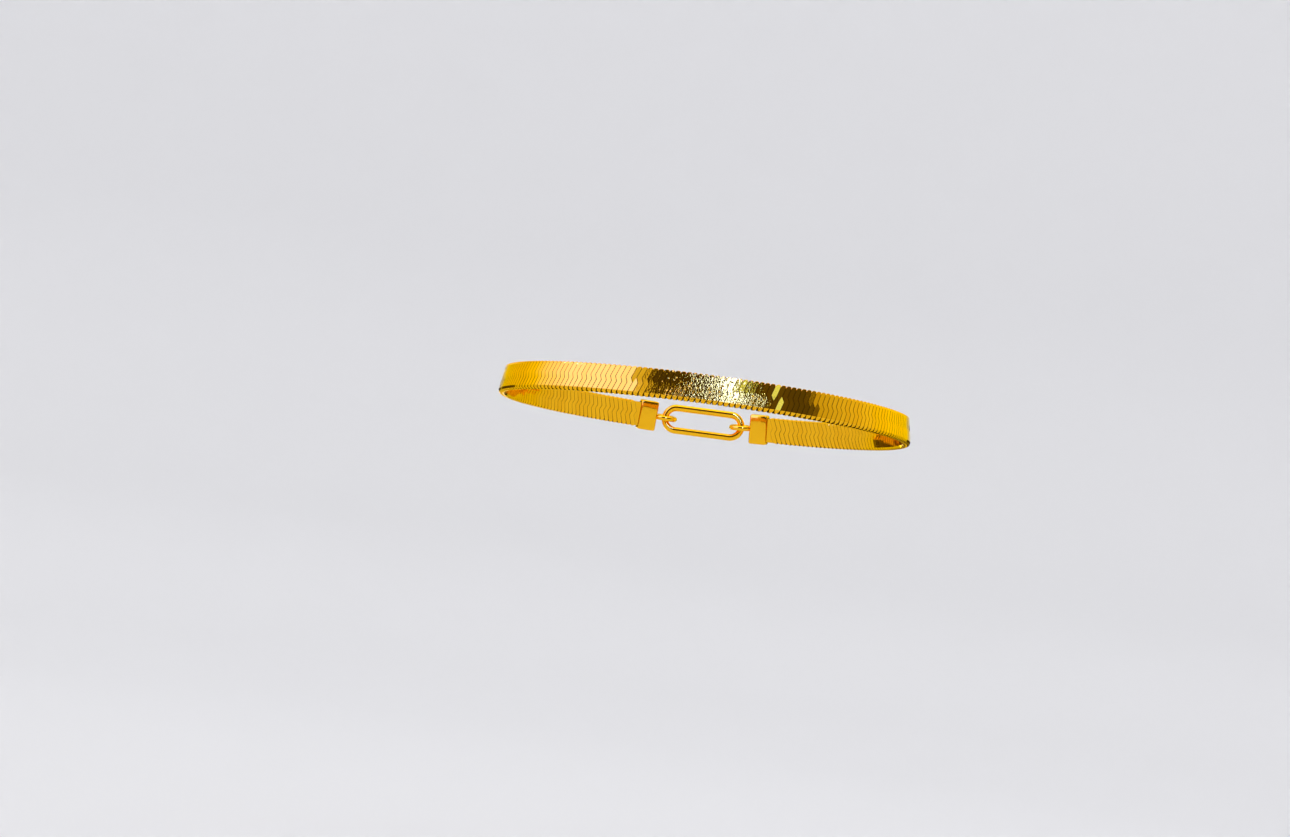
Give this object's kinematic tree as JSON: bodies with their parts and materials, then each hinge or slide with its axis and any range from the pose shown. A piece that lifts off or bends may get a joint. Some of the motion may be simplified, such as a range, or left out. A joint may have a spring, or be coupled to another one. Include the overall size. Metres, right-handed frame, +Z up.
{
  "type": "chain bracelet",
  "caption": "Closed bracelet of flat herringbone chain in polished gold-coloured metal, worn round the wrist, with a cap on each end of the chain and a plain clasp.",
  "frame": {"origin": "middle of the loop, on the wrist's axis and halfway up the band", "axes": "+Z along the wrist, out through the loop; +Y from the front of the band to the clasp; +X to the right as the front is seen from outside with +Z up"},
  "size_m": [0.0602, 0.0573, 0.0048],
  "materials": {
    "polished_gold": "polished yellow gold plating"
  },
  "bodies": {
    "root": {"herringbone_chain": "polished_gold", "end_cap_left": "polished_gold", "end_cap_right": "polished_gold", "clasp": "polished_gold"}
  },
  "joints": []
}
